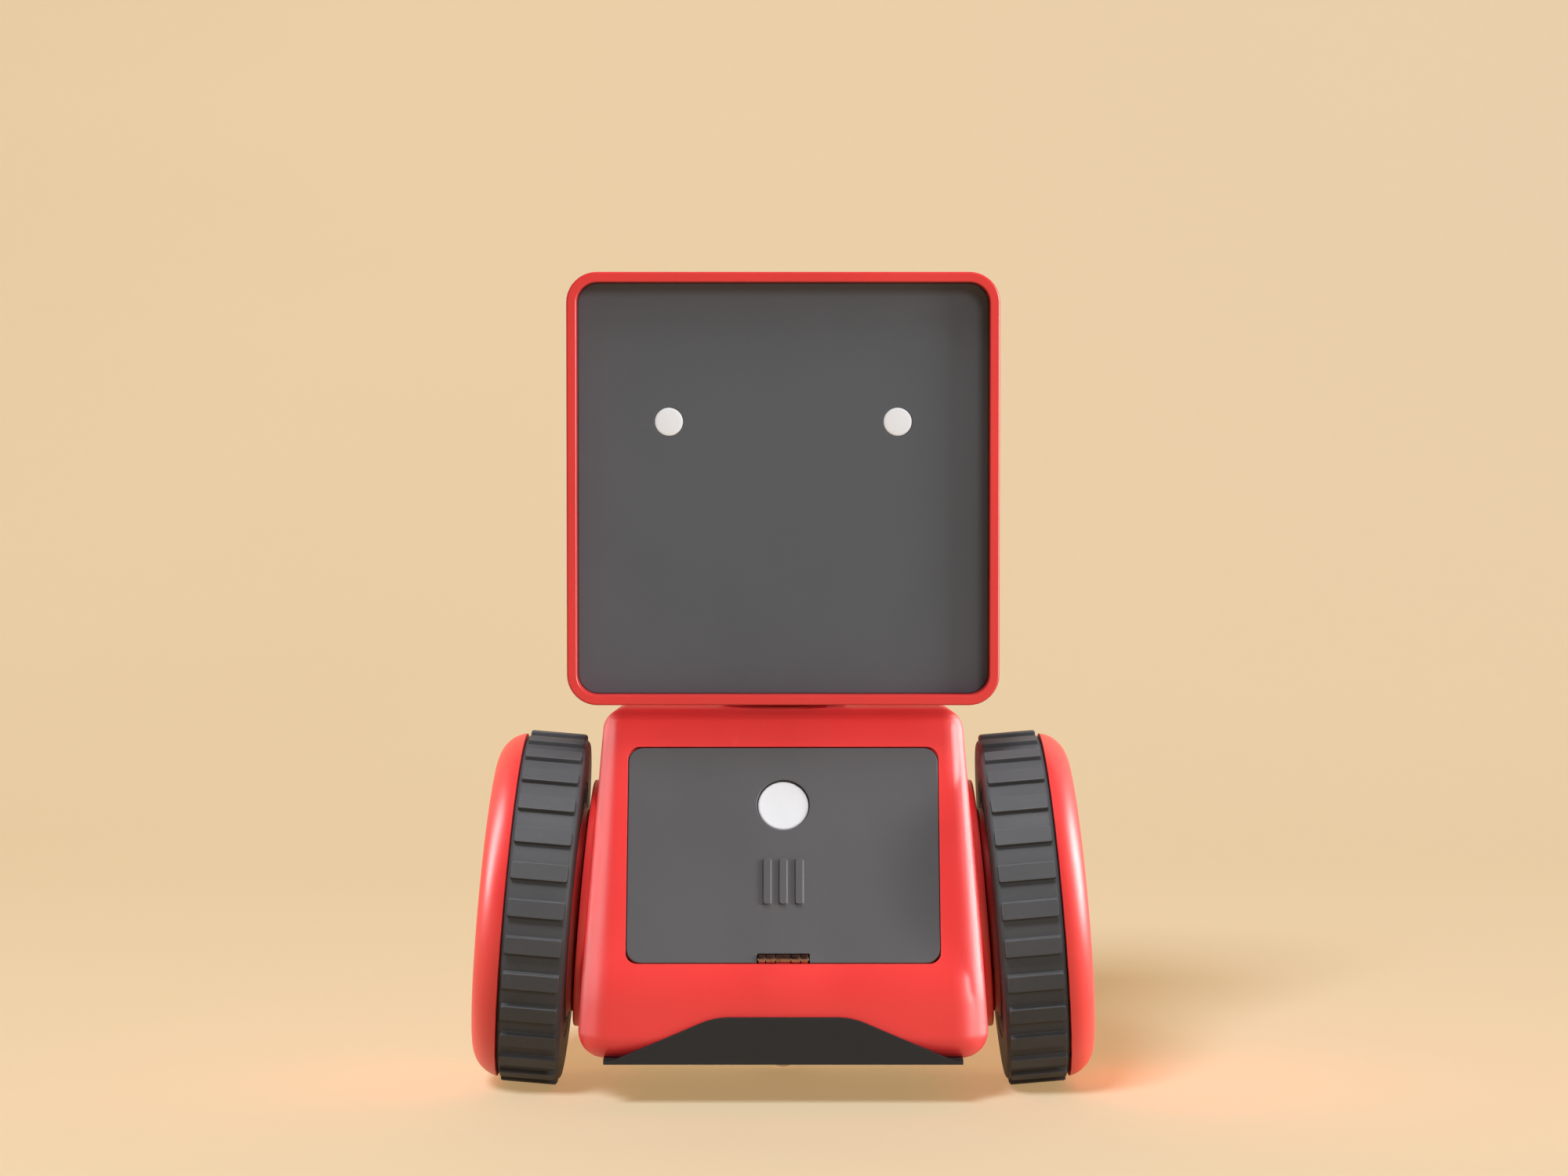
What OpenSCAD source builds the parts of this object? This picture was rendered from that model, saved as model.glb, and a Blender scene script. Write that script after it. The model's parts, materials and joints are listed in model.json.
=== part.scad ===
// Educational coding robot: two cambered wheels, a leaning body with a chest door, a panning head.
// Units are millimetres. +Z is up, the robot faces -Y, +X is to the right as seen from the front.
// The origin is on the floor under the middle of the wheel axle line.
// Each module named in NODES is one sub-part; set node to its name to show it alone.

/* [Body] */
// height of the flat top of the body
body_top = 96.4; // [94:0.2:97.4]
// half width of the body 5 mm below its top
body_half_top = 45.4; // [44:0.2:46]
// wall thickness of the body shell
body_wall = 2.4; // [1.8:0.1:2.6]
// how far the chest leans back from vertical, in degrees
chest_lean = 22.2; // [21:0.2:23]

/* [Wheels] */
// radius over the tread lugs
wheel_r = 44.7; // [43:0.1:46]
// width of the tyre
tyre_w = 15.9; // [14:0.1:16.5]
// lean of the wheel tops towards the body, in degrees
camber = 4.9; // [4:0.1:5.5]
// distance from the middle of the robot to the middle of each tyre
wheel_x = 60.8; // [60.8:0.1:63]
// number of tread lugs, a multiple of 2
lugs = 30; // [26:4:34]
// how far a lug stands above the tread
lug_h = 1.3; // [0.8:0.1:2]

/* [Head] */
// width and height of the square head
head_size = 107.8; // [100:0.2:110]
// depth of the head from front to back
head_depth = 40; // [38:0.5:44]
// radius of the corners of the head
head_corner = 7.6; // [6:0.2:9]
// width of the red rim round the face
rim_w = 2.5; // [2:0.1:3]
// how far the face lies behind the rim
face_recess = 6.5; // [4:0.5:9]
// distance of each eye from the middle
eye_x = 28.6; // [20:0.2:34]
// diameter of an eye
eye_d = 7.2; // [5:0.2:9]

/* [Chest door] */
// width of the door
door_w = 77.2; // [74:0.2:77.6]
// length of the door up the slope
door_l = 55.4; // [54:0.2:56]
// corner radius of the door
door_corner = 3.6; // [2:0.2:5]
// diameter of the start button
button_d = 12.7; // [11:0.1:13.4]

/* [Hidden] */
// sub-part to show, or all
$fn = 64;
red = [0.80, 0.09, 0.08];
dark = [0.13, 0.13, 0.13];
black = [0.05, 0.05, 0.05];
brass = [0.70, 0.45, 0.25];
steel = [0.62, 0.62, 0.64];

// body outline
side_lean = 4.218;
rear_lean = 9;
body_bottom = 11.5;
r_top = 5.5;                    // edge radius at the top of the front
r_rear = 8;                     // edge radius at the top of the back
r_low = 9;                      // radius of the upright edges near the floor
front_round = 6.5;              // edge radius under the front
rear_round = 4;                 // edge radius under the back
front_low = -40.2;              // upright front below the chest
door_z = 35.8;                  // height of the door's bottom edge
door_y = -38;                   // the chest surface at that height
function half_at(z) = body_half_top + (body_top - 5 - z) * tan(side_lean);
function chest_at(z) = door_y + (z - door_z) * tan(chest_lean);
function rear_at(z) = 25 + (body_top - z) * tan(rear_lean);
bend_z = door_z - (door_y - front_low) / tan(chest_lean);

// wheels: the corner of the lowest lug rests on the floor
lug_w = 4.3;
lug_l = 14;
lug_step = 360 / lugs;
lug_top = wheel_r * cos(asin(lug_w / 2 / wheel_r));
wheel_z = lug_top * cos(camber) + lug_l / 2 * sin(camber);
rim_r = 27.4;
hub_r = 25.9;
cap_r = 43.8;
boss_r = 31.4;
boss_h = 4.25;                  // height of that flange's rim, 0.4 short of the wheel's hub
boss_lift = 2;                  // the flange on the body sits this much above the axle
axle_r = 2;

// belly
plate_z = 11.1;                 // underside of the belly plate
floor_z = 12.4;                 // its top, where it meets the rebate in the body
plate_w = 44.2;                 // its half width at the front
arch_z = 22.7;                  // top of the arched apron
caster_y = 25;
caster_r = 6.3;
ball_r = 4.5;
belly_holes = [[-40, -26], [40, -26], [-40, 18], [40, 18]];

// chest bay, measured along the slope and along the outward normal
bay_n = 15.5;
door_gap = 0.3;                 // gap all round the door
button_s = 40.5;
hinge_s = 1.05;
hinge_n = -0.3;
hinge_r = 1.05;
pin_r = 0.45;
hole_corner = door_corner - 0.6; // corner radius of the door's opening, so the door swings clear of it
hinge_w = 12.4;                 // length of the hinge leaves
knuckle_ends = [-6.2, -4.3, -1.9, 1.9, 4.3, 6.2];  // where one hinge knuckle ends and the next begins
knuckle_gap = 0.24;             // gap between two knuckles
notch_w = 13;                   // notch in the door round the hinge

// head
head_z = 98.1;
head_front = -22;
head_split = 6;
pan_y = 5;

// ---- helpers ----

// flat plate w by l with round corners, centred on x, from y = 0 up
module round_rect(w, l, r) {
  translate([-w / 2 + r, 0]) square([w - 2 * r, l]);
  translate([-w / 2, r]) square([w, l - 2 * r]);
  for (x = [-w / 2 + r, w / 2 - r], y = [r, l - r]) translate([x, y]) circle(r);
}

// chest plane: x across, y up the slope from the door's bottom edge, z outwards
module chest() {
  translate([0, door_y, door_z]) rotate([90 - chest_lean, 0, 0]) children();
}

// rear plane: y up the slope from height 24, z outwards
module rear() {
  translate([0, rear_at(24), 24]) rotate([0, 0, 180]) rotate([90 - rear_lean, 0, 0]) children();
}

// wheel frame: z along the axle, outwards, x in the plane of the wheel
module wheel(side) {
  translate([side * wheel_x, 0, wheel_z]) rotate([0, side * (90 - camber), 0]) children();
}

// upright plane facing the front: x across, y up, z towards -Y
module front(y) {
  translate([0, y, 0]) rotate([90, 0, 0]) children();
}

// disc with a round edge, plan radius r and edge radius e, inset all round by t
module round_disc(r, e, t) {
  rotate_extrude($fn = 40) intersection() {
    translate([r - e, 0]) circle(e - t, $fn = 40);
    translate([0, -e]) square([r, 2 * e]);
  }
}

// rounded body outline, inset all round by t
module body_form(t) {
  zt = body_top - r_top;
  zr = body_top - r_rear;
  zm = bend_z + (r_low * cos(chest_lean) - r_low) / sin(chest_lean);
  zf = body_bottom + front_round;
  zb = body_bottom + rear_round;
  hull() for (s = [-1, 1]) {
    translate([s * (half_at(zt) - r_top / cos(side_lean)), chest_at(zt) + r_top / cos(chest_lean), zt])
      sphere(r_top - t, $fn = 40);
    translate([s * (half_at(zr) - r_rear / cos(side_lean)), rear_at(zr) - r_rear / cos(rear_lean), zr])
      sphere(r_rear - t, $fn = 40);
    translate([s * (half_at(zm) - r_low / cos(side_lean)), front_low + r_low, zm]) sphere(r_low - t, $fn = 40);
    translate([s * (half_at(zf) - r_low / cos(side_lean)), front_low + r_low, zf])
      round_disc(r_low, front_round, t);
    translate([s * (half_at(zb) - r_low / cos(side_lean)), rear_at(zb) - r_low / cos(rear_lean), zb])
      round_disc(r_low, rear_round, t);
  }
}

// countersunk cross-head screw, top of the head at z = 0, shank downwards
module screw(len) {
  difference() {
    union() {
      translate([0, 0, -1.3]) cylinder(h = 1.2, r = 2.5, $fn = 32);
      translate([0, 0, -len]) cylinder(h = len - 1.2, r = 1.25, $fn = 24);
    }
    for (a = [0, 90]) rotate([0, 0, a]) translate([-1.6, -0.3, -0.8]) cube([3.2, 0.6, 2]);
  }
}

// ---- chassis ----

module body_shell() {
  color(red) difference() {
    union() {
      difference() {
        body_form(0);
        body_form(body_wall);
        rear() translate([0, -0.3, -4]) linear_extrude(height = 8) round_rect(74.6, 65.4, 6.3);
      }
      // corner tabs that the rear cover is screwed to, rooted in the wall beside it
      rear() for (x = [-1, 1], y = [2, 55.8]) {
        translate([x * 35 - 6, y, -5]) cube([12, 7, 2.58]);
        translate([x * 39.4 - 2, y, -5]) cube([4, 7, 4]);
      }
    }
    // rebate for the belly plate, and the floor opening over it with a ledge left all round
    translate([-plate_w - 0.2, front_low - 2, body_bottom - 1])
      cube([2 * plate_w + 0.4, 16.2, floor_z - body_bottom + 1]);
    translate([-43.4, -31, body_bottom - 1]) cube([86.8, 64.4, floor_z - body_bottom + 1]);
    translate([-36.5, -31, body_bottom - 1]) cube([73, 62.6, 5]);
    chest() translate([0, -door_gap, -5]) linear_extrude(height = 12)
      round_rect(door_w + 2 * door_gap, door_l + 2 * door_gap, hole_corner);
    rear() for (x = [-31.5, 31.5], y = [5.5, 59.3]) translate([x, y, -8]) cylinder(h = 8, r = 1.25, $fn = 24);
    for (s = [-1, 1]) wheel(s) translate([0, 0, -22]) cylinder(h = 14, r = 10.9);
    translate([0, pan_y, 80]) cylinder(h = 40, r = 11.5);
    for (p = belly_holes) translate([p[0], p[1], 5]) cylinder(h = 12, r = 1.25, $fn = 24);
  }
  // bosses that the belly plate is screwed to
  color(red) for (p = belly_holes) translate([p[0], p[1], floor_z]) difference() {
    cylinder(h = 6.6, r = 3.2, $fn = 48);
    translate([0, 0, -1]) cylinder(h = 7, r = 1.25, $fn = 24);
  }
}

module rear_cover() {
  color(red) difference() {
    rear() translate([0, 0, -2.4]) linear_extrude(height = 2.4) round_rect(74, 64.8, 6);
    rear() for (x = [-31.5, 31.5], y = [5.5, 59.3]) translate([x, y, -5]) {
      cylinder(h = 6, r = 1.25, $fn = 24);
      translate([0, 0, 3.7]) cylinder(h = 3, r = 2.6, $fn = 32);
    }
    // sound slots
    rear() for (i = [-2 : 2]) translate([i * 4.4 - 0.9, 45, -5]) cube([1.8, 13, 8]);
    rear() for (i = [-2 : 2], y = [45, 58]) translate([i * 4.4, y, -5]) cylinder(h = 8, r = 0.9, $fn = 24);
    // charging socket and switch slot
    translate([-16.9, 20, 59.2]) cube([9.8, 20, 4]);
    translate([13.3, 20, 59.8]) cube([7.4, 20, 3.6]);
  }
}

module rear_screws() {
  color(steel) rear() for (x = [-31.5, 31.5], y = [5.5, 59.3]) translate([x, y, 0]) screw(7);
}

// arch-topped apron with a floor plate behind it
module belly_plate() {
  arc_r = 18;
  arc_x = 13.2;
  slope = 23.1;
  foot_x = arc_x + arc_r * sin(slope) + (arch_z - arc_r * (1 - cos(slope)) - floor_z) / tan(slope);
  color(black) difference() {
    union() {
      front(front_low) linear_extrude(height = 1.2) union() {
        translate([-plate_w, plate_z]) square([2 * plate_w, 1]);
        polygon([[-foot_x - 3, plate_z + 0.5], [-plate_w, plate_z + 1], [-foot_x, floor_z - 0.05],
          [-arc_x - arc_r * sin(slope), arch_z - arc_r * (1 - cos(slope))], [-arc_x, arch_z],
          [arc_x, arch_z], [arc_x + arc_r * sin(slope), arch_z - arc_r * (1 - cos(slope))],
          [foot_x, floor_z - 0.05], [plate_w, plate_z + 1], [plate_w, plate_z + 0.5]]);
        intersection() {
          translate([-arc_x - arc_r * sin(slope), 18]) square([2 * arc_x + 2 * arc_r * sin(slope), 5]);
          for (x = [-arc_x, arc_x]) translate([x, arch_z - arc_r]) circle(arc_r, $fn = 96);
        }
      }
      translate([-plate_w, front_low - 0.01, plate_z]) cube([2 * plate_w, 14.2, floor_z - plate_z]);
      translate([-43.2, front_low + 14, plate_z]) cube([86.4, 59.4, floor_z - plate_z]);
    }
    translate([0, caster_y, 0]) cylinder(h = 30, r = caster_r + 0.4);
    for (p = belly_holes) translate([p[0], p[1], 0]) {
      cylinder(h = 20, r = 1.25, $fn = 24);
      translate([0, 0, plate_z - 0.7]) cylinder(h = 2, r = 2.6, $fn = 32);
    }
  }
}

module belly_screws() {
  color(steel) for (p = belly_holes) translate([p[0], p[1], plate_z]) mirror([0, 0, 1]) screw(6);
}

module bay_tray() {
  color(dark) difference() {
    union() {
      chest() translate([0, -1.8, -bay_n]) linear_extrude(height = bay_n - body_wall - 0.05)
        round_rect(80, 59.2, 3);
      for (x = [-24, 24]) translate([x - 2.5, -16, 54]) cube([5, 8, 4]);
    }
    chest() translate([0, 0, -bay_n + 1.5]) linear_extrude(height = 30) round_rect(76.6, 55.6, 2);
  }
}

module button_collar() {
  color(dark) chest() translate([0, button_s, -bay_n + 1.5]) difference() {
    cylinder(h = 11, r = 8.6);
    translate([0, 0, 1.2]) cylinder(h = 20, r = button_d / 2 + 0.35);
    translate([0, 0, -1]) cylinder(h = 20, r = 5.2);
  }
}

module button_board() {
  color([0.05, 0.30, 0.15]) chest() translate([0, button_s, -bay_n + 1.5]) cylinder(h = 1.1, r = 5);
}

module tact_switch() {
  color(steel) chest() translate([0, button_s, -bay_n + 2.6]) {
    translate([-3, -3, 0]) cube([6, 6, 0.9]);
    translate([0, 0, 0.9]) cylinder(h = 0.3, r = 1.7, $fn = 32);
  }
}

function knuckle_x(i) = knuckle_ends[i] + knuckle_gap / 2;
function knuckle_l(i) = knuckle_ends[i + 1] - knuckle_ends[i] - knuckle_gap;

module hinge_barrels(ids) {
  for (i = ids) translate([knuckle_x(i), hinge_s, hinge_n]) rotate([0, 90, 0]) difference() {
    cylinder(h = knuckle_l(i), r = hinge_r, $fn = 48);
    translate([0, 0, -1]) cylinder(h = knuckle_l(i) + 2, r = pin_r + 0.05, $fn = 48);
  }
}

module hinge_leaf_body() {
  color(brass) chest() {
    hinge_barrels([0, 2, 4]);
    difference() {
      union() {
        for (i = [0, 2, 4]) translate([knuckle_x(i), 0.01, -3]) cube([knuckle_l(i), 0.49, 2.7]);
        translate([-hinge_w / 2, 0.01, -8.5]) cube([hinge_w, 0.49, 5.5]);
      }
      for (x = [-4.2, 4.2]) translate([x, 2, -6]) rotate([90, 0, 0]) cylinder(h = 4, r = 0.7, $fn = 24);
    }
  }
}

module hinge_pin() {
  color(steel) chest() translate([-hinge_w / 2 - 0.1, hinge_s, hinge_n]) rotate([0, 90, 0])
    cylinder(h = hinge_w + 0.2, r = pin_r, $fn = 48);
}

module catch_magnet_body() {
  color(steel) chest() translate([-4, 49.7, -7.6]) cube([8, 5.9, 3.2]);
}

module motor_housing(s) {
  color(red) difference() {
    wheel(s) difference() {
      union() {
        translate([-s * boss_lift, 0, -14.2]) cylinder(h = boss_h, r = boss_r);
        translate([0, 0, -30]) cylinder(h = 18, r = 10.5);
      }
      translate([0, 0, -31]) cylinder(h = 17, r = 8.05);
      translate([0, 0, -31]) cylinder(h = 30, r = axle_r + 0.08);
    }
    // the flange ends on the sloping side of the body, around the barrel
    difference() {
      translate([s * half_at(wheel_z), 0, wheel_z]) rotate([0, s * (90 - side_lean), 0])
        translate([0, 0, -19.98]) cylinder(h = 20, r = 40);
      wheel(s) translate([0, 0, -40]) cylinder(h = 60, r = 10.5);
    }
  }
}
module motor_housing_left() { motor_housing(-1); }
module motor_housing_right() { motor_housing(1); }

module gearbox(s) {
  color([0.75, 0.65, 0.35]) wheel(s) difference() {
    translate([0, 0, -30]) cylinder(h = 16, r = 8);
    translate([0, 0, -23]) cylinder(h = 12, r = axle_r + 0.08);
  }
}
module gearbox_left() { gearbox(-1); }
module gearbox_right() { gearbox(1); }

module motor(s) {
  color(steel) wheel(s) {
    translate([0, 0, -50]) cylinder(h = 20, r = 7.7);
    translate([0, 0, -51.5]) cylinder(h = 1.5, r = 2.5);
  }
}
module motor_left() { motor(-1); }
module motor_right() { motor(1); }

module battery_holder() {
  color(dark) difference() {
    union() {
      translate([-31.6, -22.5, 14.3]) cube([63.2, 53, 9]);
      for (x = [-28, 22], y = [-20, 20]) translate([x, y, floor_z]) cube([6, 6, 3]);
    }
    translate([-30, -20.9, 15.6]) cube([60, 50.2, 12]);
  }
}

module battery_cells() {
  color([0.2, 0.35, 0.7]) for (i = [-1.5 : 1.5]) translate([i * 15, 0, 22.75]) rotate([-90, 0, 0]) {
    translate([0, 0, -20.7]) cylinder(h = 48.4, r = 7.1);
    translate([0, 0, 27.7]) cylinder(h = 1.4, r = 2.7);
  }
}

module main_board() {
  color([0.05, 0.30, 0.15]) difference() {
    translate([-37, -11, 58]) cube([74, 38.6, 1.6]);
    for (x = [-34, 34]) translate([x, 20, 50]) cylinder(h = 20, r = 1.3, $fn = 24);
  }
}

module board_chips() {
  color(dark) {
    translate([-8, -4, 59.6]) cube([16, 16, 2.2]);
    translate([-28, -2, 59.6]) cube([8, 6, 1.4]);
    translate([20, 4, 59.6]) cube([10, 7, 1.4]);
    translate([-30, 12, 59.6]) cube([7, 10, 5.5]);
    translate([24, -8, 59.6]) cube([9, 6, 5]);
  }
}

module board_posts() {
  color(steel) for (x = [-34, 34]) translate([x, 20, 0]) {
    translate([0, 0, floor_z]) cylinder(h = 58 - floor_z, r = 2.2, $fn = 6);
    translate([0, 0, 59.6]) cylinder(h = 1.6, r = 2.4, $fn = 32);
  }
}

module usb_port() {
  color(steel) difference() {
    translate([-16.5, 20, 59.6]) cube([9, 10.6, 3.2]);
    translate([-16.1, 22, 60]) cube([8.2, 10, 2.4]);
  }
}

module switch_body() {
  color(steel) translate([12.4, 21.6, 59.6]) cube([9.2, 6, 3.8]);
}

module switch_knob() {
  color(dark) translate([14, 27.8, 60.5]) cube([2.2, 4.2, 2.2]);
}

module speaker() {
  color(dark) rear() translate([0, 51.5, -7.4]) difference() {
    union() {
      cylinder(h = 5, r = 12.4);
      translate([0, 0, -3]) cylinder(h = 3, r = 8);
    }
    translate([0, 0, 3.6]) cylinder(h = 4, r = 10.6);
  }
}

module pan_servo() {
  color([0.08, 0.09, 0.12]) {
    translate([-17, pan_y - 6, 68]) cube([23, 12, 22]);
    translate([-21.5, pan_y - 6, 83]) cube([32, 12, 2.2]);
    translate([0, pan_y, 90]) cylinder(h = 2.5, r = 5.6);
    translate([0, pan_y, 92.5]) cylinder(h = 3.6, r = 2.4, $fn = 32);
  }
}

// strap hung under the top of the body, notched from the front for the servo whose ears rest on it
module servo_bracket() {
  foot_z = 81.2;
  color(dark) difference() {
    translate([-28, pan_y - 6, foot_z]) cube([56, 14.2, body_top - body_wall - foot_z - 0.03]);
    translate([-26, pan_y - 8, foot_z + 1.8]) cube([52, 20, 20]);
    translate([-17.05, pan_y - 8, foot_z - 1]) cube([23.1, 14.05, 4]);
  }
}

module neck_ring() {
  color(red) translate([0, pan_y, body_top]) difference() {
    cylinder(h = 0.6, r = 16);
    translate([0, 0, -1]) cylinder(h = 3, r = 12);
  }
}

module caster_housing() {
  color(dark) difference() {
    translate([0, caster_y, 0]) {
      translate([0, 0, ball_r - 2.1]) cylinder(h = floor_z + 1.5 - ball_r + 2.1, r = caster_r);
      // ears that rest on the belly plate
      translate([0, 0, floor_z]) intersection() {
        cylinder(h = 1.5, r = 11);
        translate([-12, -6, 0]) cube([24, 12, 3]);
      }
    }
    translate([0, caster_y, ball_r]) sphere(ball_r + 0.3, $fn = 64);
  }
}

module caster_ball() {
  color(steel) translate([0, caster_y, ball_r]) sphere(ball_r, $fn = 64);
}

// ---- chest door ----

module chest_door() {
  color(dark) chest() difference() {
    union() {
      translate([0, 0, -2.2]) linear_extrude(height = 2.2) round_rect(door_w, door_l, door_corner);
      // raised bars
      for (x = [-3.98, 0, 3.98]) translate([x, 14.8, 0]) linear_extrude(height = 0.8) round_rect(1.95, 11.7, 0.5);
    }
    translate([0, button_s, -5]) cylinder(h = 10, r = button_d / 2 + 0.2);
    translate([-notch_w / 2, -1, -5]) cube([notch_w, 3.3, 10]);
  }
}

module hinge_leaf_door() {
  color(brass) chest() {
    hinge_barrels([1, 3]);
    difference() {
      union() {
        for (i = [1, 3]) {
          translate([knuckle_x(i), 0.8, -2.7]) cube([knuckle_l(i), 0.5, 1.9]);
          translate([knuckle_x(i), 0.8, -2.7]) cube([knuckle_l(i), 2.2, 0.5]);
        }
        translate([-hinge_w / 2, 2.6, -2.71]) cube([hinge_w, 7, 0.5]);
      }
      for (x = [-4.2, 4.2]) translate([x, 6.5, -5]) cylinder(h = 6, r = 0.7, $fn = 24);
    }
  }
}

module catch_magnet_door() {
  color(steel) chest() translate([0, 52, -3.9]) cylinder(h = 1.7, r = 2.8, $fn = 48);
}

module start_button() {
  color([0.92, 0.91, 0.90]) chest() translate([0, button_s, 0]) {
    translate([0, 0, -3.4]) cylinder(h = 2.8, r = button_d / 2);
    translate([0, 0, -10.6]) cylinder(h = 7.2, r = 2.6);
  }
}

// ---- wheels ----

module tyre(s) {
  h = tyre_w / 2;
  rb = wheel_r - lug_h;
  color([0.10, 0.10, 0.10]) wheel(s) {
    rotate_extrude() difference() {
      translate([rim_r, -h]) square([rb - rim_r, tyre_w]);
      polygon([[rb - 1.5, h + 1], [rb + 1, h + 1], [rb + 1, h - 1.5], [rb - 1.5 + 0.001, h + 1]]);
      polygon([[rb - 1.5, -h - 1], [rb + 1, -h - 1], [rb + 1, -h + 1.5], [rb - 1.5 + 0.001, -h - 1]]);
    }
    for (i = [0 : lugs - 1]) rotate([0, 0, i * lug_step])
      translate([rb - 1, -lug_w / 2, -lug_l / 2]) cube([lug_top - rb + 1, lug_w, lug_l]);
  }
}
module tyre_left() { tyre(-1); }
module tyre_right() { tyre(1); }

module rim(s) {
  h = tyre_w / 2;
  color(red) wheel(s) rotate_extrude() difference() {
    translate([axle_r, -h]) square([rim_r - axle_r, tyre_w]);
    translate([axle_r, -h - 1.6]) square([hub_r - axle_r, 3]);
    translate([8, -3]) square([15, h + 5]);
    translate([6, -h - 3]) square([16, 2.4]);
  }
}
module rim_left() { rim(-1); }
module rim_right() { rim(1); }

module hubcap(s) {
  dome_h = 8.05;
  dome_r = 510;
  edge_r = 8;
  color(red) wheel(s) translate([0, 0, tyre_w / 2]) difference() {
    rotate_extrude() intersection() {
      square([50, 12]);
      union() {
        intersection() {
          translate([0, dome_h - dome_r]) circle(dome_r, $fn = 720);
          square([cap_r - edge_r + 0.5, 12]);
        }
        translate([cap_r - edge_r, -1.2]) circle(edge_r, $fn = 96);
      }
    }
    translate([0, 0, -1]) cylinder(h = 6.2, r = 34);
  }
}
module hubcap_left() { hubcap(-1); }
module hubcap_right() { hubcap(1); }

module axle(s) {
  color(steel) wheel(s) translate([0, 0, -22.6]) cylinder(h = 22.6 + tyre_w / 2, r = axle_r);
}
module axle_left() { axle(-1); }
module axle_right() { axle(1); }

// ---- head ----

module head_frame() {
  color(red) difference() {
    front(head_split) translate([0, head_z]) linear_extrude(height = head_split - head_front)
      round_rect(head_size, head_size, head_corner);
    front(head_split + 1) translate([0, head_z + rim_w]) linear_extrude(height = 60)
      round_rect(head_size - 2 * rim_w, head_size - 2 * rim_w, head_corner - rim_w);
    for (x = [-7, 7]) translate([x, pan_y - 6, head_z - 2]) cylinder(h = 8, r = 1.25, $fn = 24);
  }
}

module head_back() {
  y1 = head_front + head_depth;
  a = head_size / 2 - head_corner;
  zc = head_z + head_size / 2;
  color(red) difference() {
    hull() {
      front(head_split + 1) translate([0, head_z]) linear_extrude(height = 1)
        round_rect(head_size, head_size, head_corner);
      for (x = [-a, a], z = [-a, a]) translate([x, y1 - head_corner, zc + z]) sphere(head_corner, $fn = 40);
    }
    front(head_split) translate([0, head_z - 1]) linear_extrude(height = 9) round_rect(head_size + 2, head_size + 2, 9);
    front(y1 - rim_w) translate([0, head_z + 5]) linear_extrude(height = 60)
      round_rect(head_size - 10, head_size - 10, 5);
    for (i = [-4 : 4]) translate([i * 6 - 1.2, y1 - 6, zc + 18]) cube([2.4, 12, 18]);
    for (x = [-36, 36], z = [-36, 36]) translate([x, y1, zc + z]) rotate([90, 0, 0]) {
      translate([0, 0, -1]) cylinder(h = 20, r = 1.25, $fn = 24);
      translate([0, 0, -1]) cylinder(h = 2.3, r = 2.6, $fn = 32);
    }
  }
}

module head_screws() {
  y1 = head_front + head_depth;
  zc = head_z + head_size / 2;
  color(steel) for (x = [-36, 36], z = [-36, 36]) translate([x, y1, zc + z]) rotate([-90, 0, 0]) screw(9);
}

module face_panel() {
  g = 0.05;
  color([0.16, 0.16, 0.16]) difference() {
    front(head_front + face_recess + 2.4) translate([0, head_z + rim_w + g]) linear_extrude(height = 2.4)
      round_rect(head_size - 2 * rim_w - 2 * g, head_size - 2 * rim_w - 2 * g, head_corner - rim_w);
    for (x = [-eye_x, eye_x]) translate([x, head_front + face_recess + 5, head_z + 70.6])
      rotate([90, 0, 0]) cylinder(h = 10, r = eye_d / 2);
  }
}

module eye(s) {
  color([0.93, 0.92, 0.92]) translate([s * eye_x, head_front + face_recess + 3.6, head_z + 70.6])
    rotate([90, 0, 0]) {
      cylinder(h = 3.6, r = eye_d / 2);
      cylinder(h = 1.2, r = eye_d / 2 + 1.2);
    }
}
module eye_left() { eye(-1); }
module eye_right() { eye(1); }

module eye_board() {
  color([0.05, 0.30, 0.15]) translate([-38, head_front + face_recess + 3.6, head_z + 62]) cube([76, 1.6, 17]);
}

module neck_collar() {
  color(red) difference() {
    translate([0, pan_y, 93.3]) cylinder(h = head_z - 93.3, r = 11);
    translate([0, pan_y, 92]) cylinder(h = 4.4, r = 2.48, $fn = 48);
    for (x = [-7, 7]) translate([x, pan_y - 6, 90]) cylinder(h = 12, r = 1.25, $fn = 24);
  }
}

// ---- assembly ----
body_shell();
rear_cover();
rear_screws();
belly_plate();
belly_screws();
bay_tray();
button_collar();
button_board();
tact_switch();
hinge_leaf_body();
hinge_pin();
catch_magnet_body();
motor_housing_left();
motor_housing_right();
gearbox_left();
gearbox_right();
motor_left();
motor_right();
battery_holder();
battery_cells();
main_board();
board_chips();
board_posts();
usb_port();
switch_body();
speaker();
pan_servo();
servo_bracket();
neck_ring();
caster_housing();
chest_door();
hinge_leaf_door();
catch_magnet_door();
start_button();
switch_knob();
caster_ball();
tyre_left();
rim_left();
hubcap_left();
axle_left();
tyre_right();
rim_right();
hubcap_right();
axle_right();
head_frame();
head_back();
head_screws();
face_panel();
eye_left();
eye_right();
eye_board();
neck_collar();
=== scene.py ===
"""Looks of the educational coding robot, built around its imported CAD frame. Lengths are in metres."""
import json
import math

import bmesh
import bpy
from mathutils import Matrix, Vector


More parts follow.
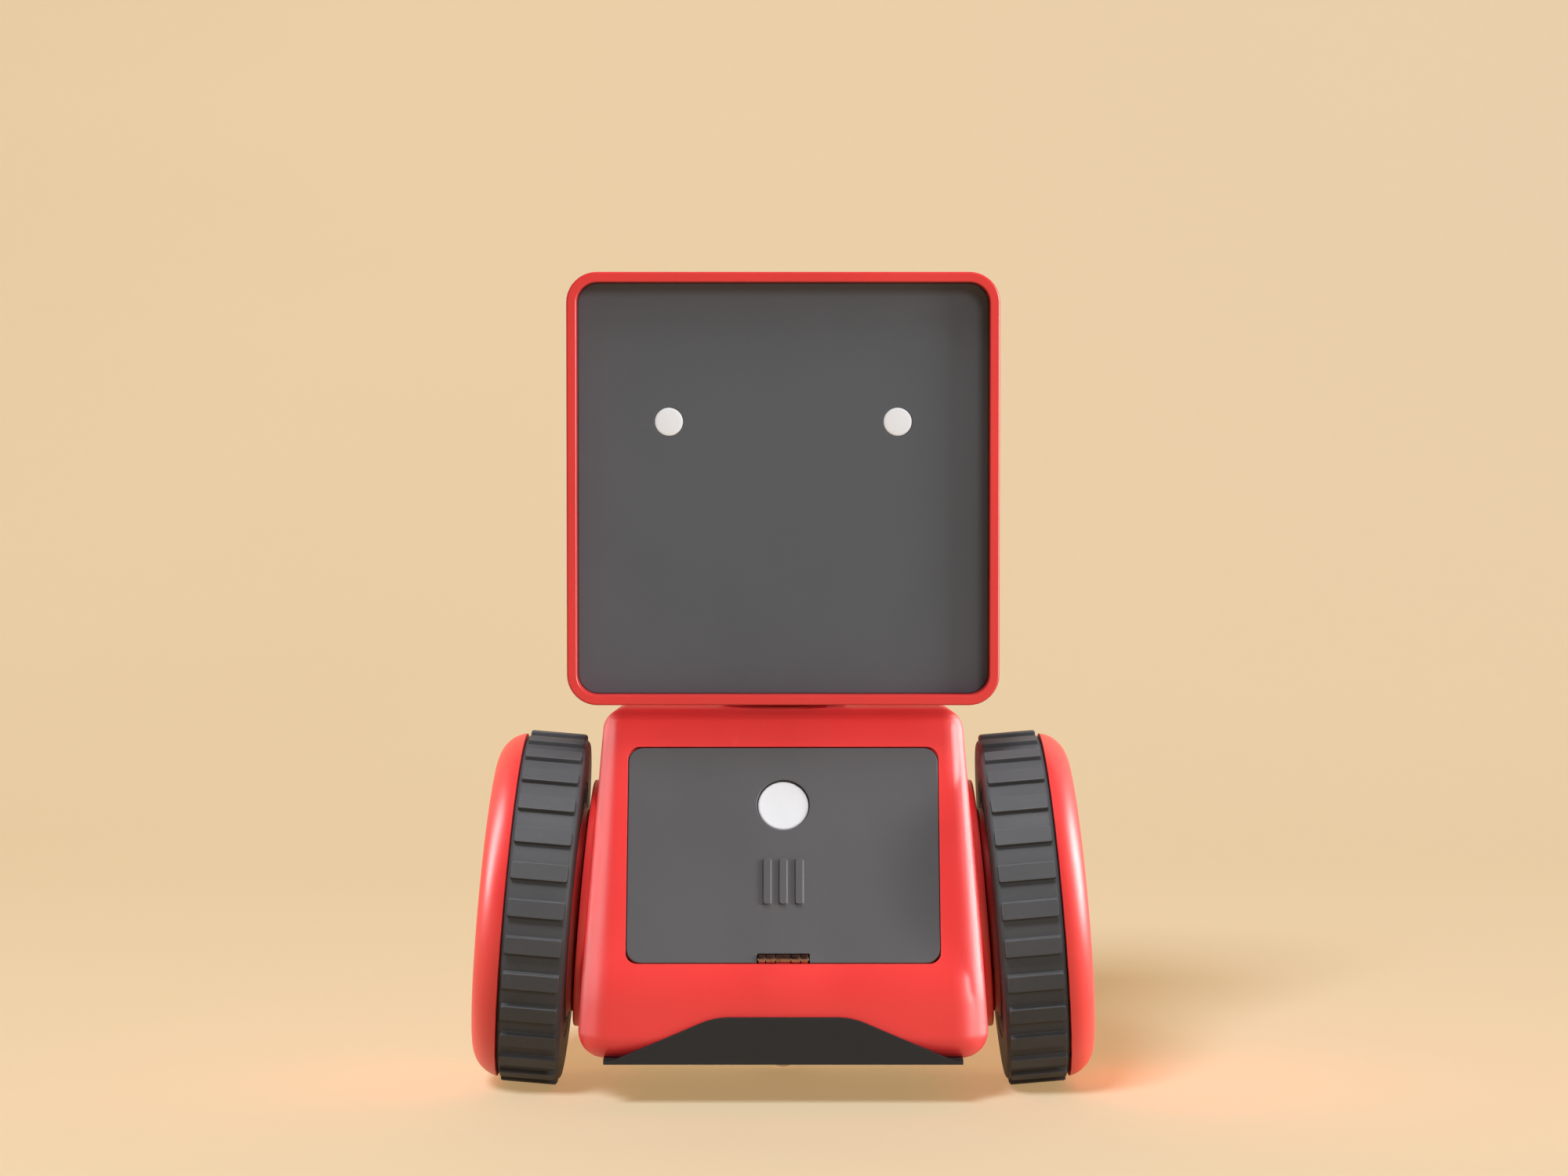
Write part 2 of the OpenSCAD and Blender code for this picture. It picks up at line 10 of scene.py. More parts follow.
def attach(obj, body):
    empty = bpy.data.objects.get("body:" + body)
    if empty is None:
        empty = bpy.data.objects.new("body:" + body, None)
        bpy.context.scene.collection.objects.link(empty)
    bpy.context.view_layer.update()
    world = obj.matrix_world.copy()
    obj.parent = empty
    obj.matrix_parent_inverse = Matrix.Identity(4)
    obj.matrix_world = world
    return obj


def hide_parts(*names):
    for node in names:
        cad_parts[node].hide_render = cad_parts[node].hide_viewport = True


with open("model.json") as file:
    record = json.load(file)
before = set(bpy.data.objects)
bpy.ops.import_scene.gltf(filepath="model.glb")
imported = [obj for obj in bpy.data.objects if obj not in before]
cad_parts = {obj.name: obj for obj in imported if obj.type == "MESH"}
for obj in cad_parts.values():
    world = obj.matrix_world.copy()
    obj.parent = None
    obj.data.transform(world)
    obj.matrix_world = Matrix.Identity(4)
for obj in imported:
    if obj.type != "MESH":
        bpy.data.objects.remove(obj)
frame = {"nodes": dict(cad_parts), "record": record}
bpy.context.view_layer.update()

MM = 0.001
NODES = frame["nodes"]
SLOTS = {s["node"]: s["material_slot"] for s in frame["record"]["subparts"]}
BODY_OF = {n: b for b, members in frame["record"]["behaviour"]["bodies"].items() for n in members}

# ---------------------------------------------------------------- dimensions, as in the part's source (mm)
CHEST_LEAN = math.radians(22.2)
SIDE_LEAN = math.radians(4.218)
REAR_LEAN = math.radians(9.0)
CAMBER = math.radians(4.9)
BODY_TOP = 96.4
BODY_BOTTOM = 11.5
BODY_WALL = 2.4
HALF_TOP = 45.4
R_TOP, R_REAR, R_LOW = 5.5, 8.0, 9.0
FRONT_ROUND, REAR_ROUND = 6.5, 4.0
FRONT_LOW = -40.2
BEND_R = 26.0
DOOR_Y, DOOR_Z = -38.0, 35.8
DOOR_W, DOOR_L, DOOR_CORNER, DOOR_T = 77.2, 55.4, 3.6, 2.2
DOOR_GAP, HOLE_CORNER, NOTCH_W = 0.3, 3.0, 13.0
BUTTON_S, BUTTON_D = 40.5, 12.7
HEAD_Z, HEAD_SIZE, HEAD_CORNER = 98.1, 107.8, 7.6
HEAD_FRONT, HEAD_SPLIT, HEAD_REAR = -22.0, 6.0, 18.0
RIM_W, FACE_RECESS = 2.5, 6.5
EYE_X, EYE_Z, EYE_D = 28.6, 168.7, 7.2
WHEEL_X, WHEEL_R, TYRE_W = 60.8, 44.7, 15.9
LUGS, LUG_H, LUG_W, LUG_L = 30, 1.3, 4.3, 14.0
RIM_R, HUB_R, CAP_R = 27.4, 25.9, 43.8
PLATE_Z, FLOOR_Z, PLATE_W, ARCH_Z = 11.1, 12.4, 44.2, 22.7
CASTER_Y, CASTER_R = 25.0, 6.3
BACK_W, BACK_L, BACK_CORNER, BACK_S = 74.6, 65.4, 6.3, 32.4      # opening behind the rear cover
NECK_R, NECK_Y, BARREL_R = 11.5, 5, 10.9
RECESS_R, RECESS_T = 2.6, 1.3                                    # screw recesses
HEAD_SCREW, BELLY_SCREW_X, BELLY_SCREW_Y = 36, 40, (-26, 18)
VENT_STEP, VENT_HALF, VENT_LOW, VENT_HIGH, VENT_T = 6, 1.2, 18, 36, 6
BAR_STEP, BAR_W, BAR_L, BAR_S = 3.98, 1.95, 11.7, 20.65          # raised bars on the chest door

LUG_TOP = WHEEL_R * math.cos(math.asin(LUG_W / 2 / WHEEL_R))
WHEEL_Z = LUG_TOP * math.cos(CAMBER) + LUG_L / 2 * math.sin(CAMBER)


# ---------------------------------------------------------------- placing
def chest_matrix():
    """Chest plane: x across, y up the slope from the door's bottom edge, z outwards. Input in mm."""
    return (Matrix.Translation((0, DOOR_Y * MM, DOOR_Z * MM))
            @ Matrix.Rotation(math.pi / 2 - CHEST_LEAN, 4, "X") @ Matrix.Scale(MM, 4))


def rear_y(z):
    return 25 + (BODY_TOP - z) * math.tan(REAR_LEAN)


def rear_matrix():
    return (Matrix.Translation((0, rear_y(24) * MM, 24 * MM)) @ Matrix.Rotation(math.pi, 4, "Z")
            @ Matrix.Rotation(math.pi / 2 - REAR_LEAN, 4, "X") @ Matrix.Scale(MM, 4))


def wheel_matrix(side):
    """Wheel frame: z outwards along the axle."""
    return (Matrix.Translation((side * WHEEL_X * MM, 0, WHEEL_Z * MM))
            @ Matrix.Rotation(side * (math.pi / 2 - CAMBER), 4, "Y") @ Matrix.Scale(MM, 4))


def front_matrix(y):
    """Upright plane facing the front: x across, y up, z towards the viewer."""
    return Matrix.Translation((0, y * MM, 0)) @ Matrix.Rotation(math.pi / 2, 4, "X") @ Matrix.Scale(MM, 4)


UNIT = Matrix.Scale(MM, 4)


# ---------------------------------------------------------------- mesh tools
def new_object(name, verts, faces, matrix=UNIT):
    mesh = bpy.data.meshes.new(name)
    mesh.from_pydata([tuple(v) for v in verts], [], faces)
    mesh.transform(matrix)
    bm = bmesh.new()
    bm.from_mesh(mesh)
    bmesh.ops.remove_doubles(bm, verts=bm.verts, dist=2e-6)
    bmesh.ops.recalc_face_normals(bm, faces=bm.faces)
    bm.to_mesh(mesh)
    bm.free()
    obj = bpy.data.objects.new(name, mesh)
    bpy.context.scene.collection.objects.link(obj)
    return obj


def rounded_loop(w, l, r, steps=8, centre=(0.0, 0.0)):
    """Points round a rectangle w by l with corner radius r, anticlockwise."""
    r = max(r, 0.001)
    pts = []
    for k, (sx, sy) in enumerate(((1, 1), (-1, 1), (-1, -1), (1, -1))):
        cx = centre[0] + sx * (w / 2 - r)
        cy = centre[1] + sy * (l / 2 - r)
        for i in range(steps + 1):
            a = math.radians(90 * k + 90 * i / steps)
            pts.append((cx + r * math.cos(a), cy + r * math.sin(a)))
    return pts


def circle_loop(r, steps=64, centre=(0.0, 0.0)):
    return [(centre[0] + r * math.cos(2 * math.pi * i / steps),
             centre[1] + r * math.sin(2 * math.pi * i / steps)) for i in range(steps)]


def loft(name, loops, matrix=UNIT, ring=False, caps=True):
    """Skin through closed loops of equal length; ring joins the last loop to the first."""
    n = len(loops[0])
    verts = [p for loop in loops for p in loop]
    faces = []
    last = len(loops) if ring else len(loops) - 1
    for j in range(last):
        a, b = j * n, ((j + 1) % len(loops)) * n
        for i in range(n):
            k = (i + 1) % n
            faces.append((a + i, a + k, b + k, b + i))
    if caps and not ring:
        faces.append(tuple(range(n)))
        faces.append(tuple((len(loops) - 1) * n + i for i in reversed(range(n))))
    return new_object(name, verts, faces, matrix)


def prism(name, outline, z0, z1, matrix=UNIT):
    return loft(name, [[(x, y, z) for x, y in outline] for z in (z0, z1)], matrix)


def lathe(name, profile, matrix=UNIT, steps=128):
    """Turn a closed (r, z) profile round the z axis."""
    loops = []
    for i in range(steps):
        a = 2 * math.pi * i / steps
        loops.append([(r * math.cos(a), r * math.sin(a), z) for r, z in profile])
    return loft(name, loops, matrix, ring=True)


def box(name, low, high, matrix=UNIT):
    outline = [(low[0], low[1]), (high[0], low[1]), (high[0], high[1]), (low[0], high[1])]
    return prism(name, outline, low[2], high[2], matrix)


def arc(cx, cy, r, a0, a1, steps):
    """Points on an arc from angle a0 to a1, in degrees."""
    return [(cx + r * math.cos(math.radians(a0 + (a1 - a0) * i / steps)),
             cy + r * math.sin(math.radians(a0 + (a1 - a0) * i / steps))) for i in range(steps + 1)]


def settle(obj):
    """Applies the modifiers of obj to its mesh."""
    graph = bpy.context.evaluated_depsgraph_get()
    mesh = bpy.data.meshes.new_from_object(obj.evaluated_get(graph))
    obj.modifiers.clear()
    old = obj.data
    obj.data = mesh
    bpy.data.meshes.remove(old)
    return obj


def combine(obj, others, operation):
    """Boolean of obj with each of the others, which are used up."""
    for other in others:
        mod = obj.modifiers.new(operation, "BOOLEAN")
        mod.operation = operation
        mod.solver = "EXACT"
        mod.object = other
        settle(obj)
        bpy.data.objects.remove(other)
    return obj


def cut(obj, *others):
    return combine(obj, others, "DIFFERENCE")


def unite(obj, *others):
    return combine(obj, others, "UNION")


def tidy(obj, flat=0.5):
    """Merges double points and flat neighbours, ready for a bevel."""
    bm = bmesh.new()
    bm.from_mesh(obj.data)
    bmesh.ops.remove_doubles(bm, verts=bm.verts, dist=3e-6)
    bmesh.ops.dissolve_limit(bm, angle_limit=math.radians(flat), verts=bm.verts, edges=bm.edges)
    bmesh.ops.recalc_face_normals(bm, faces=bm.faces)
    bm.to_mesh(obj.data)
    bm.free()
    return obj


def round_edges(obj, width, angle=40, segments=3):
    """Rounds every edge sharper than angle with a fillet of the given width in mm."""
    mod = obj.modifiers.new("edges", "BEVEL")
    mod.width = width * MM
    mod.segments = segments
    mod.limit_method = "ANGLE"
    mod.angle_limit = math.radians(angle)
    mod.use_clamp_overlap = True
    return settle(obj)


def shade(obj, angle=30):
    obj.data.shade_smooth()
    obj.data.set_sharp_from_angle(angle=math.radians(angle))
    mod = obj.modifiers.new("normals", "WEIGHTED_NORMAL")
    mod.keep_sharp = True
    mod.weight = 60
    return obj


def cad_copy(node):
    """A copy of a CAD piece's mesh, to be given round edges."""
    obj = bpy.data.objects.new(node + "_look", NODES[node].data.copy())
    obj.data.materials.clear()
    bpy.context.scene.collection.objects.link(obj)
    return tidy(obj)


# ---------------------------------------------------------------- materials
class Shader:
    """A small node-graph writer for one procedural material."""

    def __init__(self, name):
        self.mat = bpy.data.materials.new(name)
        self.mat.use_nodes = True
        self.tree = self.mat.node_tree
        self.bsdf = self.tree.nodes["Principled BSDF"]
        coords = self.add("ShaderNodeTexCoord")
        self.place = coords.outputs["Object"]

    def add(self, kind, **settings):
        node = self.tree.nodes.new(kind)
        for key, value in settings.items():
            setattr(node, key, value)
        return node

    def link(self, source, target):
        self.tree.links.new(source, target)

    def set(self, **values):
        for key, value in values.items():
            self.bsdf.inputs[key.replace("_", " ")].default_value = value

    def noise(self, scale, detail=4.0, rough=0.55, stretch=(1, 1, 1), distortion=0.0):
        mapping = self.add("ShaderNodeMapping")
        mapping.inputs["Scale"].default_value = stretch
        self.link(self.place, mapping.inputs["Vector"])
        node = self.add("ShaderNodeTexNoise")
        node.inputs["Scale"].default_value = scale
        node.inputs["Detail"].default_value = detail
        node.inputs["Roughness"].default_value = rough
        node.inputs["Distortion"].default_value = distortion
        self.link(mapping.outputs["Vector"], node.inputs["Vector"])
        return node.outputs["Fac"]

    def spread(self, value, low, high, out_low=0.0, out_high=1.0):
        node = self.add("ShaderNodeMapRange")
        for name, number in (("From Min", low), ("From Max", high),
                             ("To Min", out_low), ("To Max", out_high)):
            node.inputs[name].default_value = number
        self.link(value, node.inputs["Value"])
        return node.outputs["Result"]

    def math(self, operation, a, b):
        node = self.add("ShaderNodeMath", operation=operation)
        for slot, value in zip(node.inputs, (a, b)):
            if isinstance(value, (int, float)):
                slot.default_value = value
            else:
                self.link(value, slot)
        return node.outputs[0]

    def mix(self, factor, a, b):
        node = self.add("ShaderNodeMix", data_type="RGBA")
        for name, value in (("Factor", factor), ("A", a), ("B", b)):
            slot = [s for s in node.inputs if s.name == name and s.enabled][0]
            if isinstance(value, (int, float)):
                slot.default_value = value
            elif isinstance(value, tuple):
                slot.default_value = (*value, 1)
            else:
                self.link(value, slot)
        return [s for s in node.outputs if s.enabled][0]

    def edges(self, radius):
        """1 along edges and corners, 0 on open surface."""
        bevel = self.add("ShaderNodeBevel", samples=4)
        bevel.inputs["Radius"].default_value = radius * MM
        geometry = self.add("ShaderNodeNewGeometry")
        dot = self.add("ShaderNodeVectorMath", operation="DOT_PRODUCT")
        self.link(bevel.outputs["Normal"], dot.inputs[0])
        self.link(geometry.outputs["Normal"], dot.inputs[1])
        return self.spread(dot.outputs["Value"], 0.985, 0.80)

    def bump(self, layers):
        """Stacks bump layers of (height, distance in mm, strength)."""
        normal = None
        for height, distance, strength in layers:
            node = self.add("ShaderNodeBump")
            node.inputs["Distance"].default_value = distance * MM
            node.inputs["Strength"].default_value = strength
            self.link(height, node.inputs["Height"])
            if normal is not None:
                self.link(normal, node.inputs["Normal"])
            normal = node.outputs["Normal"]
        self.link(normal, self.bsdf.inputs["Normal"])

    def colour(self, value):
        self.link(value, self.bsdf.inputs["Base Color"])

    def roughness(self, value):
        self.link(value, self.bsdf.inputs["Roughness"])


def scaled(rgb, k):
    return tuple(min(1.0, c * k) for c in rgb)


def plastic(name, rgb, rough, grain, grain_depth, wear=1.25, coat=0.0):
    """Moulded plastic: flow variation, fine spark-eroded grain, soft waviness, rubbed edges, faint scuffs."""
    m = Shader(name)
    flow = m.spread(m.noise(22, 3, stretch=(1, 1, 0.6), distortion=0.6), 0.3, 0.7)
    speck = m.spread(m.noise(1800, 2), 0.35, 0.65)
    base = m.mix(flow, scaled(rgb, 0.93), scaled(rgb, 1.06))
    base = m.mix(m.math("MULTIPLY", speck, 0.10), base, scaled(rgb, 1.25))
    scuff_line = m.spread(m.noise(240, 2, stretch=(1, 0.12, 0.5), distortion=2.0), 0.66, 0.74)
    worn = m.math("MULTIPLY", m.edges(0.5), m.spread(m.noise(160, 3), 0.35, 0.65, 0.2, 0.75))
    base = m.mix(m.math("MULTIPLY", worn, 0.55), base, tuple(min(1, c * wear + 0.03) for c in rgb))
    m.colour(base)
    patch = m.spread(m.noise(48, 4), 0.3, 0.7, rough - 0.04, rough + 0.06)
    rub = m.math("ADD", patch, m.math("MULTIPLY", scuff_line, 0.08))
    m.roughness(rub)
    m.bump([(m.noise(14, 2), 0.12, 0.35), (m.noise(grain, 3, 0.6), grain_depth, 0.55)])
    m.set(IOR=1.49)
    if coat:
        m.set(Coat_Weight=coat, Coat_Roughness=0.12)
    return m.mat


def rubber(name, rgb):
    """Moulded rubber: faint mottling, rubbed edges, a trace of dust low on the grain."""
    m = Shader(name)
    flow = m.spread(m.noise(60, 4), 0.3, 0.7)
    base = m.mix(flow, scaled(rgb, 0.94), scaled(rgb, 1.06))
    worn = m.math("MULTIPLY", m.edges(0.4), m.spread(m.noise(200, 3), 0.35, 0.65, 0.6, 1.0))
    base = m.mix(m.math("MULTIPLY", worn, 0.8), base, tuple(c * 2.2 + 0.02 for c in rgb))
    dust = m.spread(m.noise(900, 5, 0.7), 0.55, 0.8)
    base = m.mix(m.math("MULTIPLY", dust, 0.06), base, (0.22, 0.21, 0.20))
    m.colour(base)
    m.roughness(m.spread(m.noise(90, 4), 0.3, 0.7, 0.50, 0.62))
    m.bump([(m.noise(1500, 4, 0.7), 0.02, 0.5)])
    m.set(Specular_IOR_Level=0.12)
    return m.mat


def metal(name, rgb, rough, stretch=(1, 1, 1), tarnish=(0.2, 0.12, 0.08), tarnish_amount=0.0, scale=900):
    m = Shader(name)
    brushed = m.noise(scale, 4, 0.6, stretch=stretch)
    base = m.mix(m.spread(brushed, 0.3, 0.7), scaled(rgb, 0.86), scaled(rgb, 1.1))
    if tarnish_amount:
        spots = m.spread(m.noise(700, 5, 0.7), 0.45, 0.62)
        base = m.mix(m.math("MULTIPLY", spots, tarnish_amount), base, tarnish)
    m.colour(base)
    m.roughness(m.spread(m.noise(300, 4), 0.3, 0.7, rough - 0.08, rough + 0.10))
    m.bump([(brushed, 0.01, 0.6)])
    m.set(Metallic=1.0)
    return m.mat


def board(name):
    """Solder-masked circuit board with copper tracks under the mask."""
    m = Shader(name)
    tracks = m.add("ShaderNodeTexBrick", offset=0.37, squash=1.4)
    tracks.inputs["Scale"].default_value = 190
    tracks.inputs["Mortar Size"].default_value = 0.06
    m.link(m.place, tracks.inputs["Vector"])
    mask = m.mix(m.spread(m.noise(80), 0.3, 0.7), (0.010, 0.085, 0.040), (0.016, 0.12, 0.055))
    base = m.mix(m.spread(tracks.outputs["Fac"], 0.0, 1.0), mask, (0.04, 0.22, 0.10))
    m.colour(base)
    m.roughness(m.spread(m.noise(150), 0.3, 0.7, 0.28, 0.42))
    m.bump([(tracks.outputs["Fac"], 0.03, 0.6)])
    return m.mat


MATERIALS = {
    "red_plastic": plastic("red_plastic", (0.51, 0.028, 0.0265), 0.38, 1700, 0.010),
    "dark_plastic": plastic("dark_plastic", (0.0658, 0.0656, 0.0716), 0.55, 1400, 0.02, wear=1.5),
    "face_plastic": plastic("face_plastic", (0.060, 0.066, 0.077), 0.55, 1500, 0.015, wear=1.4),
    "tyre_rubber": rubber("tyre_rubber", (0.044, 0.045, 0.049)),
    "white_plastic": plastic("white_plastic", (0.545, 0.565, 0.605), 0.36, 1500, 0.006, wear=1.05, coat=0.15),
    "black_plastic": plastic("black_plastic", (0.0135, 0.0155, 0.019), 0.48, 1200, 0.02, wear=2.2),
    "cell_sleeve": plastic("cell_sleeve", (0.06, 0.14, 0.42), 0.28, 900, 0.006, coat=0.4),
    "gearbox_plastic": plastic("gearbox_plastic", (0.55, 0.38, 0.12), 0.42, 1200, 0.02),
    "hinge_brass": metal("hinge_brass", (0.36, 0.20, 0.14), 0.34, tarnish=(0.12, 0.03, 0.03),
                         tarnish_amount=0.5),
    "polished_steel": metal("polished_steel", (0.60, 0.60, 0.62), 0.20, scale=300),
    "steel": metal("steel", (0.52, 0.52, 0.54), 0.34, stretch=(1, 1, 0.08), tarnish_amount=0.12),
    "circuit_board": board("circuit_board"),
}


def dress(obj, slot):
    obj.data.materials.clear()
    obj.data.materials.append(MATERIALS[slot])
    return obj


def piece(obj, node, smooth=30):
    """Finishes a piece that stands for a CAD node: same body, same slot."""
    dress(obj, SLOTS[node])
    shade(obj, smooth)
    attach(obj, BODY_OF[node])
    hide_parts(node)
    return obj


# ---------------------------------------------------------------- body
def half_at(z):
    return HALF_TOP + (BODY_TOP - 5 - z) * math.tan(SIDE_LEAN)


def chest_y(z):
    return DOOR_Y + (z - DOOR_Z) * math.tan(CHEST_LEAN)


def drop(r, h):
    """Half chord of a circle of radius r at distance h from its centre."""
    return math.sqrt(max(r * r - h * h, 0))


def slope_edge(z, plane, lean, foot, top, inset):
    """Distance from the middle at height z of a leaning plane rounded at its foot and at its top."""
    (z0, r0, e0), (z1, r1) = foot, top
    if z < z0 + (e0 - inset) * math.sin(lean):
        return plane(z0) - r0 / math.cos(lean) + r0 - e0 + drop(e0 - inset, z - z0)
    if z > z1 + (r1 - inset) * math.sin(lean):
        return plane(z1) - r1 / math.cos(lean) + drop(r1 - inset, z - z1)
    return plane(z) - inset / math.cos(lean)


def corner_at(z, foot, top, inset):
    """Radius in plan of an upright edge at height z."""
    (z0, r0, e0), (z1, r1) = foot, top
    if z < z0:
        return r0 - e0 + drop(e0 - inset, z - z0)
    if z > z1:
        return drop(r1 - inset, z - z1)
    return (r0 + (r1 - r0) * (z - z0) / (z1 - z0)) - inset


def front_edge(z, foot, top, z_bend, inset):
    """Distance of the front from the middle plane: upright below, leaning with the chest above."""
    z0, r0, e0 = foot
    z1, r1 = top
    low = BEND_R - inset
    if z < z0:
        return -FRONT_LOW - e0 + drop(e0 - inset, z - z0)
    if z < z_bend:
        return -FRONT_LOW - inset
    if z < z_bend + low * math.sin(CHEST_LEAN):
        return -FRONT_LOW - BEND_R + drop(low, z - z_bend)
    if z < z1 + (r1 - inset) * math.sin(CHEST_LEAN):
        return -chest_y(z) - inset / math.cos(CHEST_LEAN)
    return -chest_y(z1) - r1 / math.cos(CHEST_LEAN) + drop(r1 - inset, z - z1)


def four_corner_loop(back, front, steps=8):
    """Outline through two rear and two front corners, each given as (half width, distance, radius)."""
    pts = []
    corners = ((1, 1, back), (-1, 1, back), (-1, -1, front), (1, -1, front))
    for k, (sx, sy, (x, y, r)) in enumerate(corners):
        r = max(r, 0.001)
        for i in range(steps + 1):
            a = math.radians(90 * k + 90 * i / steps)
            pts.append((sx * (x - r) + r * math.cos(a), sy * (y - r) + r * math.sin(a)))
    return pts


def body_loops(inset):
    bend = DOOR_Z - (DOOR_Y - FRONT_LOW) / math.tan(CHEST_LEAN)
    z_bend = bend + (BEND_R * math.cos(CHEST_LEAN) - BEND_R) / math.sin(CHEST_LEAN)
    front_foot, front_top = (BODY_BOTTOM + FRONT_ROUND, R_LOW, FRONT_ROUND), (BODY_TOP - R_TOP, R_TOP)
    rear_foot, rear_top = (BODY_BOTTOM + REAR_ROUND, R_LOW, REAR_ROUND), (BODY_TOP - R_REAR, R_REAR)
    levels = {BODY_BOTTOM + inset, z_bend, 34.0, BODY_TOP - inset}
    for (z0, _, e0), (z1, r1) in ((front_foot, front_top), (rear_foot, rear_top)):
        for i in range(0, 8):
            a = math.radians(90 * i / 8)
            levels.add(z0 - (e0 - inset) * math.sin(a))
            levels.add(z1 + (r1 - inset) * math.sin(a))
    for i in range(1, 9):
        levels.add(z_bend + (BEND_R - inset) * math.sin(CHEST_LEAN * i / 8))
    loops, last = [], -1.0
    for z in sorted(levels):
        if z - last < 0.05:
            continue
        last = z
        rear_depth = slope_edge(z, rear_y, REAR_LEAN, rear_foot, rear_top, inset)
        front_depth = front_edge(z, front_foot, front_top, z_bend, inset)
        ends = ((rear_foot, rear_top, rear_depth), (front_foot, front_top, front_depth))
        corners = [(slope_edge(z, half_at, SIDE_LEAN, foot, top, inset), depth,
                    corner_at(z, foot, top, inset)) for foot, top, depth in ends]
        loops.append([(x, y, z) for x, y in four_corner_loop(*corners)])
    return loops


def build_body():
    body = loft("body_shell_look", body_loops(0))
    inside = loft("inside", body_loops(BODY_WALL))
    chest, rear = chest_matrix(), rear_matrix()
    opening = [(x, y + DOOR_L / 2) for x, y in rounded_loop(DOOR_W + 2 * DOOR_GAP, DOOR_L + 2 * DOOR_GAP,
                                                           HOLE_CORNER, 8)]
    back = [(x, y + BACK_S) for x, y in rounded_loop(BACK_W, BACK_L, BACK_CORNER, 6)]
    cutters = [inside, prism("door_hole", opening, -5, 7, chest), prism("back_hole", back, -4, 5, rear),
               prism("neck_hole", circle_loop(NECK_R, 64, (0, NECK_Y)), 90, 105),
               box("rebate", (-PLATE_W - 0.2, FRONT_LOW - 2, 10), (PLATE_W + 0.2, FRONT_LOW + 14.2, FLOOR_Z)),
               box("rebate2", (-43.4, -31, 10.1), (43.4, 33.4, FLOOR_Z)),
               box("floor_hole", (-36.5, -30.9, 10.2), (36.5, 31.6, 15.5))]
    for side in (-1, 1):
        cutters.append(prism("barrel_hole", circle_loop(BARREL_R, 48), -22, -8, wheel_matrix(side)))
    cut(body, *cutters)
    for x in (-1, 1):
        for y in (2, 55.8):
            tab = box("tab", (x * 35 - 6, y, -5), (x * 35 + 6, y + 7, -2.42), rear)
            unite(body, tab, box("root", (x * 39.4 - 2, y, -5), (x * 39.4 + 2, y + 7, -1), rear))
    tidy(body)
    round_edges(body, 0.4, 50, 3)
    return piece(body, "body_shell")


# ---------------------------------------------------------------- head
def head_loop(half, corner, y):
    zc = HEAD_Z + HEAD_SIZE / 2
    return [(x, y, zc + z) for x, z in rounded_loop(2 * half, 2 * half, corner, 10)]


